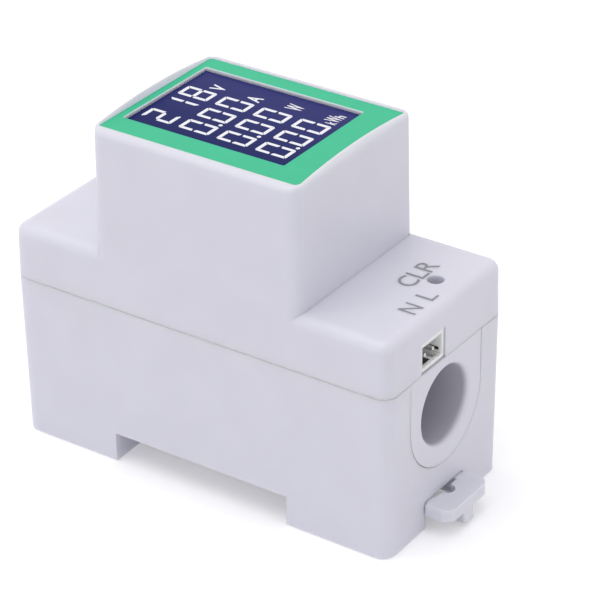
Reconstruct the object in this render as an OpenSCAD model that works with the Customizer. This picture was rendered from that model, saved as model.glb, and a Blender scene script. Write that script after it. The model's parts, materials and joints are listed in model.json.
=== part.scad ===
// Two-module energy meter for a 35 mm rail, with a straight hole for the cable that it measures.
// The origin is the centre of the seat on the rail. +Z points out of the front, +X to the end
// with the socket and the clip, and Y runs across the two modules.

/* [Case] */
// Length of the case, along the cable hole
case_len = 77.2; // [75:0.2:84]
// Width of the case, two modules of 18 mm
case_w = 36; // [35:0.5:42]
// Wall thickness of both shells
wall = 1.6; // [1.2:0.1:1.8]
// Radius of the upright corners
corner_r = 2.5; // [2:0.1:3.5]
// Height of the seam between the shells above the rail seat
seam_z = 25.5; // [25:0.1:28]
// Height of the two shoulders above the rail seat
shoulder_z = 35.6; // [35.2:0.1:38]
// Radius along the top edges of the shoulders
shoulder_r = 1.9; // [1:0.1:2.2]
// Length of the raised nose at its foot
nose_len = 41.8; // [41:0.1:46]
// Inward slope of the lower shell's walls
lower_draft = 0.008; // [0:0.002:0.016]
// Inward slope of the upper shell's walls
upper_draft = 0.015; // [0:0.005:0.03]
// Small chamfer that shows as the seam line
seam_chamfer = 0.1; // [0.05:0.05:0.3]

/* [Front] */
// Height of the label's face above the rail seat
label_z = 58.3; // [57:0.1:64]
// Thickness of the label
label_t = 0.4; // [0.2:0.1:0.6]
// Corner radius of the label
label_r = 1; // [0.5:0.1:2]
// Width of the rim along the long sides of the label
rim_side = 1.5; // [1.2:0.1:2.5]
// Width of the rim at the ends of the label
rim_end = 0.55; // [0.5:0.05:1]
// Height of the rim above the label at the long sides
rim_h = 0.3; // [0.2:0.1:0.6]
// Further rise of the rim at the middle of the width
rim_rise = 1; // [0.4:0.1:1.4]
// Drop of the rounding outside the rim
rim_drop = 1.2; // [0.8:0.1:1.6]
// Green border of the display at its -X end
border_rear = 1.55; // [1.3:0.05:2.4]
// Green border of the display at its +X end
border_front = 6.2; // [5:0.1:7]
// Green border of the display on its -Y side
border_near = 5.1; // [4:0.1:6]
// Green border of the display on its +Y side
border_far = 3.45; // [3:0.05:5]
// Depth of the display below the label's face
lcd_drop = 1; // [0.9:0.1:1.4]
// Thickness of the display glass
glass_t = 2.8; // [2:0.1:3]
// Overlap of the display glass behind the window's edge
glass_lap = 0.4; // [0.3:0.05:0.5]
// Thickness of the backlight under the glass
backlight_t = 3; // [2.5:0.1:4]

/* [Rail] */
// Width of the channel that takes the rail
rail_gap = 36.2; // [35.6:0.1:36.6]
// Depth of the feet below the rail seat
foot_h = 5.8; // [5.6:0.1:6.4]
// Room between the seat and the hooks for the rail's flange
flange_room = 1.15; // [1.1:0.05:1.4]
// Reach of the fixed hooks and the clip's nose into the channel
hook_reach = 2.2; // [1.8:0.1:2.6]
// Width of the clip's slot
slot_w = 11.6; // [11:0.2:13]
// Sideways place of the clip
clip_y = -0.2; // [-0.4:0.1:0.4]
// Thickness of the sliding clip
clip_t = 2.2; // [2:0.1:2.4]
// Gap round the sliding clip
slide_gap = 0.2; // [0.15:0.05:0.3]
// Travel of the clip
clip_travel = 3; // [2.6:0.1:3]
// Length of the clip's tab outside the case
tab_len = 5; // [4.6:0.1:6]
// Width of the clip's tab
tab_w = 12.6; // [12.4:0.2:14]

/* [Cable hole] */
// Diameter of the cable hole
bore_d = 14; // [12:0.2:14.6]
// Wall of the sleeve round the cable hole
sleeve_wall = 1; // [0.8:0.1:1.2]
// Rounding at the mouth of the cable hole
bore_lip = 1.1; // [0.6:0.1:1.4]
// Margin of the end plates round the sleeve
plate_margin = 2.9; // [2.4:0.1:3.4]
// Sideways place of the cable hole
bore_y = -0.15; // [-0.5:0.05:0.5]

/* [Current transformer] */
// Radial depth of the transformer round the sleeve
ct_depth = 4.9; // [4:0.1:5.2]
// Length of the transformer along the sleeve
ct_len = 12; // [8:0.5:14]
// Wall of the transformer's cup
ct_wall = 0.8; // [0.6:0.1:1]

/* [Boards] */
// Thickness of the circuit boards
board_t = 1.2; // [1:0.1:1.6]
// Diameter of the posts that carry the boards
post_d = 5; // [4:0.2:5.4]
// Diameter of the boards' screws
screw_d = 2; // [1.8:0.1:2.2]

/* [Socket and button] */
// Width of the socket's window in the end wall
socket_window_w = 7.6; // [7.2:0.05:8]
// Height of the socket's window above the seam
socket_window_h = 5.9; // [5.7:0.1:6.4]
// Sideways place of the socket's middle
socket_y = -4.3; // [-5:0.1:-4]
// Distance of the socket's face behind the end of the case
socket_inset = 0.4; // [0.3:0.1:1.4]
// Diameter of the hole above the reset switch
reset_d = 3; // [2.4:0.1:3.2]
// Distance of that hole from the end of the case
reset_from_end = 5.8; // [5.6:0.1:6.6]
// Sideways place of that hole
reset_y = 5.3; // [5:0.1:6]
// Travel of the reset switch's plunger
reset_travel = 0.25; // [0.2:0.05:0.3]

/* [Hidden] */
$fn = 48;

shell_white = [0.84, 0.84, 0.88];
label_green = [0.28, 0.78, 0.6];
lcd_navy = [0.22, 0.23, 0.45];
board_green = [0.1, 0.35, 0.2];
tin = [0.78, 0.78, 0.78];
chip_black = [0.12, 0.12, 0.13];

fit = 0.1;
eps = 0.02;
chamfer_foot = 0.3;
half_len = case_len / 2;
channel_x = rail_gap / 2;

// The shells
in_len = case_len - 2 * (wall + lower_draft * (seam_z + foot_h));
in_w = case_w - 2 * (wall + lower_draft * (seam_z + foot_h));
in_r = max(corner_r - wall, 0.4);
wall_in_x = in_len / 2;
rim_z = label_z + rim_h;
nose_draft = 0.6 * upper_draft;
nose_top_len = nose_len - 2 * nose_draft * (label_z - shoulder_z);
nose_top_w = case_w - 2 * upper_draft * (label_z - seam_z);
label_len = nose_top_len - 2 * rim_end;
label_w = nose_top_w - 2 * rim_side;
shoulder_in_w = case_w - 2 * (wall + upper_draft * (shoulder_z - seam_z));
shoulder_in_len = case_len - 2 * (wall + upper_draft * (shoulder_z - seam_z));
nose_in_len = nose_top_len - 2 * wall;
nose_in_w = nose_top_w - 2 * wall + 2 * eps;
shoulder_in_z = shoulder_z - wall;
front_in_z = label_z - label_t - wall;
window_len = label_len - border_rear - border_front;
window_w = label_w - border_near - border_far;
window_x = (border_rear - border_front) / 2;
window_y = (border_near - border_far) / 2;
glass_len = window_len + 2 * glass_lap;
glass_w = window_w + 2 * glass_lap;

// The cable hole, with the terminal board lying just over its sleeve
bore_r = bore_d / 2;
sleeve_r = bore_r + sleeve_wall;
terminal_top = seam_z + 0.2;
sleeve_gap = 0.5;
bore_z = terminal_top - board_t - sleeve_gap - sleeve_r;
plate_r = sleeve_r + plate_margin;
flange_t = 1.2;
flange_lap = 1;
plate_x = wall_in_x - fit - flange_t;
plate_out_x = half_len - fit;
rear_lip = 0.6;

// The current transformer
ct_in_r = sleeve_r + 2 * fit;
ct_out_r = sleeve_r + ct_depth;
core_r1 = ct_in_r + ct_wall + 2 * fit;
core_r2 = ct_out_r - ct_wall - 2 * fit;
core_len = ct_len - ct_wall - 2.2;

// The boards
main_bottom = bore_z + ct_out_r + 1.3;
main_top = main_bottom + board_t;
main_x1 = -(in_len / 2 - 1.4);
board_half_w = shoulder_in_w / 2 - 1.6;
board_r = 1;
rear_post_x = main_x1 + 5.5;
front_post_x = ct_len / 2 + 7;
terminal_x1 = front_post_x + post_d / 2 + 1.5;
main_x2 = terminal_x1 + 5;
terminal_x2 = plate_x - fit;
display_top = label_z - lcd_drop - glass_t - backlight_t;
display_bottom = display_top - board_t;
display_x = nose_in_len / 2 - 0.4;
display_half_w = nose_in_w / 2 - 0.4;
pilot_d = screw_d * 0.8;
screw_room = 0.4;
screw_grip = 6;
display_grip = 4;
post_y = max(board_half_w - 2.6, sleeve_r + abs(bore_y) + post_d / 2 + 0.3);
main_posts = [for (x = [rear_post_x, front_post_x], s = [-1, 1]) [x, s * post_y]];
terminal_posts = [for (s = [-1, 1]) [terminal_x2 - 5, s * post_y]];
display_posts = [
    [display_x - 1.9, -display_half_w + 2.6],
    [display_x - 1.9, display_half_w - 2.6],
    [-display_x + 2.2, -display_half_w + 1.7]];
display_post_d = 3.2;

// The socket, the reset switch and the pins between the boards
pin_pitch = 2.5;
lead_d = 0.7;
lead_tail = 0.9;
lead_room = 0.2;
bar_w = pin_pitch - 0.1;
bar_h = 2.4;
socket_w = socket_window_w - 0.25;
socket_h = socket_window_h - 0.5;
socket_len = 7.5;
socket_x = half_len - socket_inset;
socket_pin_z = terminal_top + 2.4;
reset_x = half_len - reset_from_end;
switch_w = 6;
switch_h = 3.5;
plunger_d = 3.4;
plunger_h = 1.1;
plunger_seat = 1.4;
display_link_pins = [for (i = [-2.5:2.5]) [i * pin_pitch, -board_half_w + 1.5]];
terminal_link_pins = [for (i = [0:2]) [terminal_x1 + 2.5, board_half_w - 1.4 - i * pin_pitch]];
socket_leads = [for (s = [-1, 1]) [socket_x - 6, socket_y + s * pin_pitch / 2]];

// Leads of the parts that stand on the main board
storage_d = 8;
storage_h = 12;
storage_at = [nose_in_len / 2 - 6.9, 0];
storage_leads = [for (s = [-1, 1]) [storage_at[0], storage_at[1] + s * 1.75]];
film_size = [7, 17, 12.5];
film_at = [6.5 - nose_in_len / 2, 0.5];
film_leads = [for (s = [-1, 1]) [film_at[0], film_at[1] + s * 7.5]];
varistor_at = [4.5, board_half_w - 4];
varistor_d = 9;
varistor_t = 3.2;
varistor_lift = 1;
varistor_leads = [for (s = [-1, 1]) [varistor_at[0] + s * 2.5, varistor_at[1]]];
resistor_at = [-3.6, board_half_w - 4];
resistor_d = 2.3;
resistor_h = 6.5;
resistor_leads = [for (s = [-1, 1]) [resistor_at[0] + s * pin_pitch / 2, resistor_at[1]]];
ct_lead_at = [for (s = [-1, 1]) [ct_len / 2 + 1.6, bore_y + s * 6]];
chip_at = [main_x1 + 8.4, 0];
chip_size = [6, 10, 1.6];
chip_leg = 1.4;
chip_pitch = 1.27;
crystal_at = [main_x1 + 13.4, 4.2 - board_half_w];
crystal_size = [6.4, 3.2, 2.2];
regulator_at = [main_x1 + 14.4, board_half_w - 3.2];
regulator_size = [4.4, 2.4, 1.4];
regulator_leg = 1;
driver_w = 10;
driver_t = 1;
driver_leg = 1.1;
driver_pitch = 1.2;
leg_w = 0.4;
leg_t = 0.6;
main_leads = concat(storage_leads, film_leads, varistor_leads, resistor_leads, ct_lead_at,
    display_link_pins, terminal_link_pins);

// The sliding clip
clip_top = -0.15 - slide_gap;
clip_bottom = clip_top - clip_t;
clip_w = slot_w - 2 * slide_gap;
nose_x = channel_x - hook_reach;
tab_x1 = half_len - lower_draft * seam_z + slide_gap;
tab_x2 = half_len + tab_len;
guide = 1.2;
flange_x1 = channel_x + 1.4;
flange_x2 = flange_x1 + 4.5;
arm_x1 = flange_x2 + 1;
arm_x2 = half_len - wall - clip_travel - 0.4;
bump_len = 1.8;
arm_w = 1.5;
tab_r = 2;
nib_w = 3;
nib_t = 1.9;
nib_drop = 2.5;
window_half_w = 3.4;

// A slab with round upright corners, drawn from arcs and straight sides
module rounded_block(l, w, h, r) {
    linear_extrude(height = h) {
        square([l - 2 * r, w], center = true);
        square([l, w - 2 * r], center = true);
        for (sx = [-1, 1], sy = [-1, 1])
            translate([sx * (l / 2 - r), sy * (w / 2 - r)]) circle(r = r);
    }
}

// The four corner discs of one level of a drafted block
module level(l, w, r, z) {
    for (sx = [-1, 1], sy = [-1, 1])
        translate([sx * (l / 2 - r), sy * (w / 2 - r), z]) cylinder(r = r, h = eps, $fn = 40);
}

module lower_form() {
    function shrink(z) = 2 * lower_draft * (seam_z - z);
    hull() {
        level(case_len - shrink(-foot_h) - 2 * chamfer_foot, case_w - shrink(-foot_h) - 2 * chamfer_foot,
            corner_r - chamfer_foot, -foot_h);
        level(case_len - shrink(-foot_h + chamfer_foot), case_w - shrink(-foot_h + chamfer_foot),
            corner_r, -foot_h + chamfer_foot);
        level(case_len - shrink(seam_z - seam_chamfer), case_w - shrink(seam_z - seam_chamfer),
            corner_r, seam_z - seam_chamfer - eps);
        level(case_len - 2 * seam_chamfer, case_w - 2 * seam_chamfer, corner_r - seam_chamfer, seam_z - eps);
    }
}

// Walls of the upper shell lean in by this much on both sides together at a height
function lean(z) = 2 * upper_draft * (z - seam_z);

module shoulder_form() {
    steps = 8;
    hull() {
        level(case_len - 2 * seam_chamfer, case_w - 2 * seam_chamfer, corner_r - seam_chamfer, seam_z);
        level(case_len - lean(seam_z + seam_chamfer), case_w - lean(seam_z + seam_chamfer), corner_r,
            seam_z + seam_chamfer);
        for (i = [0:steps]) {
            a = 90 * i / steps;
            z = shoulder_z - shoulder_r * (1 - sin(a));
            inset = shoulder_r * (1 - cos(a));
            level(case_len - lean(z) - 2 * inset, case_w - lean(z) - 2 * inset, corner_r - inset, z - eps);
        }
    }
}

// Height of the rim's crest across the width
function crest(y) = rim_z + rim_rise * (1 - pow(y / (label_w / 2), 2));

// The nose with its crowned rim: corner discs below, and rounded ribs over the crown
module nose_form() {
    steps = 6;
    stations = 8;
    hull() {
        level(nose_len, case_w - lean(shoulder_z), corner_r, seam_z + wall);
        level(nose_len, case_w - lean(shoulder_z), corner_r, shoulder_z);
        for (i = [0:steps]) {
            a = 90 * i / steps;
            z = rim_z - rim_drop * (1 - sin(a));
            inset_end = rim_end * (1 - cos(a));
            inset_side = rim_side * (1 - cos(a));
            r = corner_r - inset_side;
            level(nose_top_len - 2 * inset_end, nose_top_w - 2 * inset_side, r, z - eps);
            for (j = [0:stations], s = [-1, 1]) {
                y = label_w * (j / stations - 0.5) * 0.98;
                translate([s * (nose_top_len / 2 - inset_end - eps), y, crest(y) - rim_drop * (1 - sin(a))])
                    cube(2 * eps, center = true);
            }
        }
    }
}

module at_points(points, z) {
    for (p = points) translate([p[0], p[1], z]) children();
}

// Round-bottomed outline of an end plate, or of its slot, up to a height
module plate_solid(x, t, r, top = seam_z - fit / 2) {
    translate([x, bore_y, bore_z]) rotate([90, 0, 90]) linear_extrude(height = t) {
        difference() {
            circle(r = r);
            translate([-r - 1, 0]) square([2 * r + 2, r + 1]);
        }
        translate([-r, -eps]) square([2 * r, top - bore_z + eps]);
    }
}

// Catches that join the shells: the tongues hang from the upper shell, with a barb each
tongue_w = 6;
tongue_x = -rear_post_x - post_d / 2 - tongue_w / 2 - 0.3;
tongue_t = 1;
tongue_drop = 5;
barb = 0.6;
tongue_y = in_w / 2 - fit;

module tongues() {
    for (sx = [-1, 1], sy = [-1, 1]) translate([sx * tongue_x, 0, 0]) mirror([0, sy < 0 ? 1 : 0, 0]) {
        translate([-tongue_w / 2, tongue_y - tongue_t, seam_z - tongue_drop])
            cube([tongue_w, tongue_t, tongue_drop + 4]);
        translate([-tongue_w / 2, tongue_y - tongue_t, seam_z + 1])
            cube([tongue_w, case_w / 2 - wall / 2 - tongue_y + tongue_t, 3]);
        translate([-tongue_w / 2 + 1, tongue_y - eps, seam_z - tongue_drop]) rotate([90, 0, 90])
            linear_extrude(height = tongue_w - 2)
                polygon([[0, 0], [barb + eps, 1.1], [barb + eps, 1.5], [0, 1.5]]);
    }
}

// Posts stand on the floor, or down in a hollow foot where they lie past the channel
module posts(points, top) {
    for (p = points) {
        foot = (abs(p[0]) > channel_x ? -foot_h + wall : wall) - eps;
        translate([p[0], p[1], foot]) cylinder(d = post_d, h = top - foot);
    }
}

module lower_case() {
    pocket_floor = -foot_h + wall;
    side_block = slot_w / 2 + guide + wall + abs(clip_y);
    color(shell_white) difference() {
        union() {
            difference() {
                lower_form();
                translate([0, 0, wall]) rounded_block(in_len, in_w, seam_z, in_r);
                translate([-channel_x, -case_w, -foot_h - 1]) cube([rail_gap, 2 * case_w, foot_h + 1]);
                // The feet are hollow beside the clip's slot and over the fixed hooks
                translate([-in_len / 2, -in_w / 2, pocket_floor])
                    cube([in_len / 2 - channel_x - wall, in_w, foot_h]);
                for (s = [-1, 1]) mirror([0, s < 0 ? 1 : 0, 0])
                    translate([channel_x + wall, side_block, pocket_floor])
                        cube([in_len / 2 - channel_x - wall, in_w / 2 - side_block, foot_h]);
            }
            fixed_hooks();
            posts(main_posts, main_bottom);
            posts(terminal_posts, terminal_top - board_t);
        }
        for (s = [-1, 1]) mirror([s < 0 ? 1 : 0, 0, 0])
            plate_solid(half_len - wall - 1, wall + 2, plate_r + fit, seam_z + 1);
        // Slot for the clip, open below, with a guide groove on each side
        translate([channel_x - 1, clip_y - slot_w / 2, -foot_h - 1])
            cube([half_len - channel_x + 2, slot_w, foot_h + 1 + clip_top + slide_gap]);
        for (s = [-1, 1]) {
            translate([0, clip_y, 0]) mirror([0, s < 0 ? 1 : 0, 0]) {
                groove(channel_x - 1, flange_x2 + clip_travel + slide_gap);
                groove(arm_x2 - bump_len - slide_gap, arm_x2 + clip_travel + slide_gap);
            }
            mirror([0, s < 0 ? 1 : 0, 0]) for (x = [-tongue_x, tongue_x])
                translate([x - tongue_w / 2 + 0.7, in_w / 2 - 1, seam_z - tongue_drop - 0.3])
                    cube([tongue_w - 1.4, 1 + barb + 0.2, 2]);
        }
        at_points(main_posts, main_bottom - 8) cylinder(d = pilot_d, h = 9);
        at_points(terminal_posts, terminal_top - board_t - 8) cylinder(d = pilot_d, h = 9);
    }
}

module groove(x1, x2) {
    translate([x1, slot_w / 2 - 1, clip_bottom - slide_gap])
        cube([x2 - x1, 1 + guide, clip_t + 2 * slide_gap]);
}

// Two lugs on the fixed foot reach under the rail's flange
module fixed_hooks() {
    for (y = [-8, 8]) translate([-channel_x - eps, y + 3, 0]) rotate([90, 0, 0])
        linear_extrude(height = 6)
            polygon([[0, -flange_room], [hook_reach, -flange_room], [hook_reach, -flange_room - 0.7],
                [0, -foot_h + 1]]);
}

module upper_case() {
    guide_z = terminal_top + switch_h + plunger_h + 0.6;
    color(shell_white) difference() {
        union() {
            difference() {
                union() {
                    shoulder_form();
                    nose_form();
                }
                translate([0, 0, seam_z - 1])
                    rounded_block(shoulder_in_len, shoulder_in_w, shoulder_in_z - seam_z + 1, in_r);
                translate([0, 0, seam_z - 1])
                    rounded_block(nose_in_len, nose_in_w, front_in_z - seam_z + 1, in_r);
            }
            tongues();
            at_points(display_posts, display_top)
                cylinder(d = display_post_d, h = front_in_z - display_top + eps);
            // Guide under the reset hole
            translate([reset_x, reset_y, guide_z])
                cylinder(d = reset_d + 2, h = shoulder_in_z - guide_z + eps);
        }
        translate([0, 0, label_z - label_t]) rounded_block(label_len, label_w, 5, label_r);
        translate([window_x, window_y, front_in_z - 5]) rounded_block(window_len, window_w, 12, 0.3);
        translate([window_x, window_y, front_in_z - 5])
            rounded_block(glass_len + 2 * fit, glass_w + 2 * fit, label_z - lcd_drop - front_in_z + 5, 0.3);
        translate([half_len - wall - 2, socket_y - socket_window_w / 2, seam_z - 1])
            cube([wall + 4, socket_window_w, socket_window_h + 1]);
        translate([reset_x, reset_y, seam_z]) cylinder(d = reset_d, h = shoulder_z - seam_z + 1);
        at_points(display_posts, display_top - 1) cylinder(d = pilot_d, h = 4.5);
    }
}

// Plate that fills the slot in an end wall, with a flange behind the wall
module end_plate() {
    plate_solid(plate_x, plate_out_x - plate_x, plate_r);
    plate_solid(plate_x, flange_t, plate_r + flange_lap);
}

// Sleeve of the cable hole, moulded with the end plate at +X
module ct_sleeve() {
    color(shell_white) difference() {
        union() {
            translate([-half_len, bore_y, bore_z]) rotate([0, 90, 0])
                cylinder(r = sleeve_r, h = case_len - 1);
            end_plate();
        }
        translate([-half_len - 1, bore_y, bore_z]) rotate([0, 90, 0]) cylinder(r = bore_r, h = case_len + 2);
        translate([plate_out_x, bore_y, bore_z]) rotate([0, -90, 0]) mouth(bore_lip);
        translate([-half_len, bore_y, bore_z]) rotate([0, 90, 0]) mouth(rear_lip);
    }
}

// Material taken away to round a mouth, outside at z = 0 and the hole going up
module mouth(r) {
    rotate_extrude() difference() {
        translate([bore_r - 1, -1]) square([1 + r, 1 + r]);
        translate([bore_r + r, r]) circle(r = r);
    }
}

// Loose end plate at -X, pushed over the sleeve
module rear_plate() {
    color(shell_white) difference() {
        mirror([1, 0, 0]) end_plate();
        translate([-half_len - 1, bore_y, bore_z]) rotate([0, 90, 0])
            cylinder(r = sleeve_r + fit / 2, h = half_len - plate_x + 2);
    }
}

// Sliding rail clip: nose, guide flanges, two sprung arms with bumps, and a pull tab
module rail_clip() {
    plate_x1 = channel_x + 0.2;
    color(shell_white) translate([0, clip_y, 0]) difference() {
        union() {
            translate([plate_x1, -clip_w / 2, clip_bottom]) cube([tab_x1 + 1 - plate_x1, clip_w, clip_t]);
            for (s = [-1, 1]) mirror([0, s < 0 ? 1 : 0, 0]) {
                translate([flange_x1, clip_w / 2 - 1, clip_bottom])
                    cube([flange_x2 - flange_x1, 1 + guide, clip_t]);
                translate([arm_x2 - bump_len, clip_w / 2 - 1, clip_bottom])
                    cube([bump_len, 1 + guide - slide_gap, clip_t]);
            }
            clip_tab();
            clip_nose(plate_x1);
        }
        for (s = [-1, 1]) mirror([0, s < 0 ? 1 : 0, 0]) {
            // Slot that frees the arm, and the gap behind its tip
            translate([arm_x1, clip_w / 2 - arm_w - 1, clip_bottom - 1])
                cube([arm_x2 - arm_x1 + 0.8, 1, clip_t + 2]);
            translate([arm_x2, clip_w / 2 - arm_w - 1, clip_bottom - 1]) cube([0.8, arm_w + 3, clip_t + 2]);
        }
        clip_window();
    }
}

// Tab outside the case, with round outer corners and a nib under its end to pull on
module clip_tab() {
    translate([0, 0, clip_bottom]) linear_extrude(height = clip_t) {
        translate([tab_x1, -tab_w / 2]) square([tab_x2 - tab_r - tab_x1, tab_w]);
        translate([tab_x2 - tab_r - eps, -tab_w / 2 + tab_r]) square([tab_r + eps, tab_w - 2 * tab_r]);
        for (s = [-1, 1]) translate([tab_x2 - tab_r, s * (tab_w / 2 - tab_r)]) circle(r = tab_r);
    }
    translate([tab_x2 - nib_t / 2, 0, clip_bottom - nib_drop])
        rounded_block(nib_t, nib_w, nib_drop + eps, 0.5);
}

// Wedge under the rail's flange
module clip_nose(x2) {
    y = clip_w / 2 - 0.8;
    translate([0, y, 0]) rotate([90, 0, 0]) linear_extrude(height = 2 * y)
        polygon([[nose_x, -flange_room], [x2 + eps, -flange_room], [x2 + eps, clip_bottom],
            [nose_x + 1.1, clip_bottom], [nose_x, -flange_room - 0.5]]);
}

// Opening by the end wall, with a round-ended notch that takes the tip of a screwdriver
module clip_window() {
    notch_x = half_len + 1.8;
    translate([0, 0, clip_bottom - 1]) linear_extrude(height = clip_t + 2) {
        translate([half_len - 2.4, -window_half_w]) square([2.65, 2 * window_half_w]);
        translate([half_len - 1, -nib_w / 2]) square([notch_x - nib_w / 2 - half_len + 1, nib_w]);
        translate([notch_x - nib_w / 2, 0]) circle(d = nib_w);
    }
}

module front_label() {
    color(label_green) translate([0, 0, label_z - label_t]) difference() {
        rounded_block(label_len - 2 * fit, label_w - 2 * fit, label_t, label_r - fit);
        translate([window_x, window_y, -1]) rounded_block(window_len, window_w, label_t + 2, 0.3);
    }
}

module lcd_glass() {
    color(lcd_navy) translate([window_x, window_y, label_z - lcd_drop - glass_t])
        rounded_block(glass_len, glass_w, glass_t - fit / 2, 0.2);
}

module lcd_backlight() {
    color([0.9, 0.9, 0.92]) translate([window_x, window_y, display_top])
        rounded_block(glass_len - 1, glass_w - 3, backlight_t, 0.5);
}

module lcd_pins() {
    row_y = glass_w / 2 - 0.8;
    color(tin) for (i = [-4.5:4.5], s = [-1, 1])
        translate([window_x + i * pin_pitch, window_y + s * row_y, display_top])
            cylinder(d = 0.5, h = backlight_t, $fn = 16);
}

module display_board() {
    color(board_green) difference() {
        translate([0, 0, display_bottom]) rounded_block(2 * display_x, 2 * display_half_w, board_t, board_r);
        at_points(display_posts, display_bottom - 1) cylinder(d = screw_d + screw_room, h = board_t + 2);
        at_points(display_link_pins, display_bottom - 1) cylinder(d = lead_d + lead_room, h = board_t + 2);
    }
}

module display_driver() {
    legs_z = driver_t - leg_t + 0.2;
    color(chip_black) translate([window_x, 4, display_bottom - legs_z - leg_t]) {
        translate([-driver_w / 2, -driver_w / 2, 0]) cube([driver_w, driver_w, driver_t]);
        for (a = [0, 90, 180, 270]) rotate([0, 0, a]) for (i = [-3:3])
            translate([driver_w / 2 - 0.1, i * driver_pitch - leg_w / 2, legs_z])
                cube([driver_leg, leg_w, leg_t]);
    }
}

// Pan-headed screws standing on a face at z, or hanging under it
module screws(points, z, grip, up = 1) {
    cross_w = 0.2 * screw_d;
    for (p = points) translate([p[0], p[1], z]) mirror([0, 0, up < 0 ? 1 : 0]) difference() {
        union() {
            cylinder(d = screw_d * 1.8, h = screw_d * 0.6);
            translate([0, 0, -grip]) cylinder(d = pilot_d - 0.06, h = grip + eps);
        }
        for (a = [0, 90]) rotate([0, 0, a])
            translate([-screw_d * 0.6, -cross_w / 2, screw_d * 0.3]) cube([screw_d * 1.2, cross_w, screw_d]);
    }
}

module display_screws() {
    color(tin) screws(display_posts, display_bottom, display_grip, -1);
}

module main_screws() {
    color(tin) screws(main_posts, main_top, screw_grip);
}

module terminal_screws() {
    color(tin) screws(terminal_posts, terminal_top, screw_grip);
}

module main_board() {
    color(board_green) difference() {
        translate([(main_x1 + main_x2) / 2, 0, main_bottom])
            rounded_block(main_x2 - main_x1, 2 * board_half_w, board_t, board_r);
        at_points(main_posts, main_bottom - 1) cylinder(d = screw_d + screw_room, h = board_t + 2);
        at_points(main_leads, main_bottom - 1) cylinder(d = lead_d + lead_room, h = board_t + 2);
    }
}

// Bar of plastic with straight pins through it; along the row each pin's block runs into the next
module pin_bar(points, z, pin_z1, pin_z2, along_x) {
    joined = pin_pitch + eps;
    block = along_x ? [joined, bar_w, bar_h] : [bar_w, joined, bar_h];
    for (p = points) translate([p[0], p[1], 0]) {
        color(chip_black) translate([-block[0] / 2, -block[1] / 2, z]) cube(block);
        color(tin) translate([0, 0, pin_z1]) cylinder(d = lead_d, h = pin_z2 - pin_z1);
    }
}

module display_link() {
    pin_bar(display_link_pins, main_top, main_bottom - lead_tail, display_top + 0.3, true);
}

module terminal_link() {
    pin_bar(terminal_link_pins, terminal_top, terminal_top - board_t - lead_tail, main_top + 0.6, false);
}

module terminal_board() {
    color(board_green) difference() {
        translate([(terminal_x1 + terminal_x2) / 2, 0, terminal_top - board_t])
            rounded_block(terminal_x2 - terminal_x1, 2 * board_half_w, board_t, board_r);
        at_points(concat(terminal_link_pins, socket_leads), terminal_top - board_t - 1)
            cylinder(d = lead_d + lead_room, h = board_t + 2);
        at_points(terminal_posts, terminal_top - board_t - 1)
            cylinder(d = screw_d + screw_room, h = board_t + 2);
    }
}

// Shrouded two-way socket with its mouth at +X
module socket_shell() {
    side = 0.7;
    color([0.93, 0.93, 0.92]) difference() {
        translate([socket_x - socket_len, socket_y - socket_w / 2, terminal_top])
            cube([socket_len, socket_w, socket_h]);
        translate([socket_x - socket_len + 2.5, socket_y - socket_w / 2 + side, terminal_top + side])
            cube([socket_len, socket_w - 2 * side, socket_h - 2 * side]);
        // Keyways for the plug, through the bottom wall behind its lip
        for (s = [-1, 1]) translate([socket_x - 4, socket_y + s * 1.9 - 0.6, terminal_top - 1])
            cube([4 - side, 1.2, side + 2]);
        for (p = socket_leads) {
            translate([socket_x - socket_len - 1, p[1], socket_pin_z]) rotate([0, 90, 0])
                cylinder(d = lead_d + 0.02, h = 5);
            translate([p[0], p[1], terminal_top - 1])
                cylinder(d = lead_d + 0.02, h = socket_pin_z - terminal_top + 1);
        }
    }
}

module socket_pins() {
    color(tin) for (p = socket_leads) {
        translate([p[0] - lead_d / 2, p[1], socket_pin_z]) rotate([0, 90, 0])
            cylinder(d = lead_d, h = socket_x - 0.6 - p[0] + lead_d / 2);
        translate([p[0], p[1], terminal_top - board_t + 0.1])
            cylinder(d = lead_d, h = socket_pin_z - terminal_top + board_t - 0.1);
    }
}

module reset_switch() {
    color(chip_black) translate([reset_x, reset_y, terminal_top]) difference() {
        translate([-switch_w / 2, -switch_w / 2, 0]) cube([switch_w, switch_w, switch_h]);
        translate([0, 0, switch_h - plunger_seat]) cylinder(d = plunger_d + 2 * fit, h = plunger_seat + 1);
    }
}

module reset_plunger() {
    color([0.85, 0.85, 0.86])
        translate([reset_x, reset_y, terminal_top + switch_h - plunger_seat + reset_travel + fit / 2])
            cylinder(d = plunger_d, h = plunger_h + plunger_seat - reset_travel - fit / 2);
}

module ring(r1, r2, x1, x2) {
    translate([x1, bore_y, bore_z]) rotate([0, 90, 0]) difference() {
        cylinder(r = r2, h = x2 - x1);
        translate([0, 0, -1]) cylinder(r = r1, h = x2 - x1 + 2);
    }
}

// Cup of the transformer, open at +X, with the core inside and resin over it
module ct_cup() {
    color([0.15, 0.25, 0.5]) difference() {
        ring(ct_in_r, ct_out_r, -ct_len / 2, ct_len / 2);
        ring(ct_in_r + ct_wall, ct_out_r - ct_wall, -ct_len / 2 + ct_wall, ct_len / 2 + 1);
    }
}

module ct_core() {
    color([0.5, 0.5, 0.52]) ring(core_r1, core_r2, -ct_len / 2 + ct_wall, -ct_len / 2 + ct_wall + core_len);
}

module ct_potting() {
    color([0.08, 0.08, 0.09]) difference() {
        ring(ct_in_r + ct_wall, ct_out_r - ct_wall, -ct_len / 2 + ct_wall + core_len, ct_len / 2 - 0.4);
        for (p = ct_lead_at) translate([ct_len / 2 - 1.4, p[1], ct_lead_z(p)]) rotate([0, 90, 0])
            cylinder(d = lead_d, h = 3);
    }
}

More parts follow.
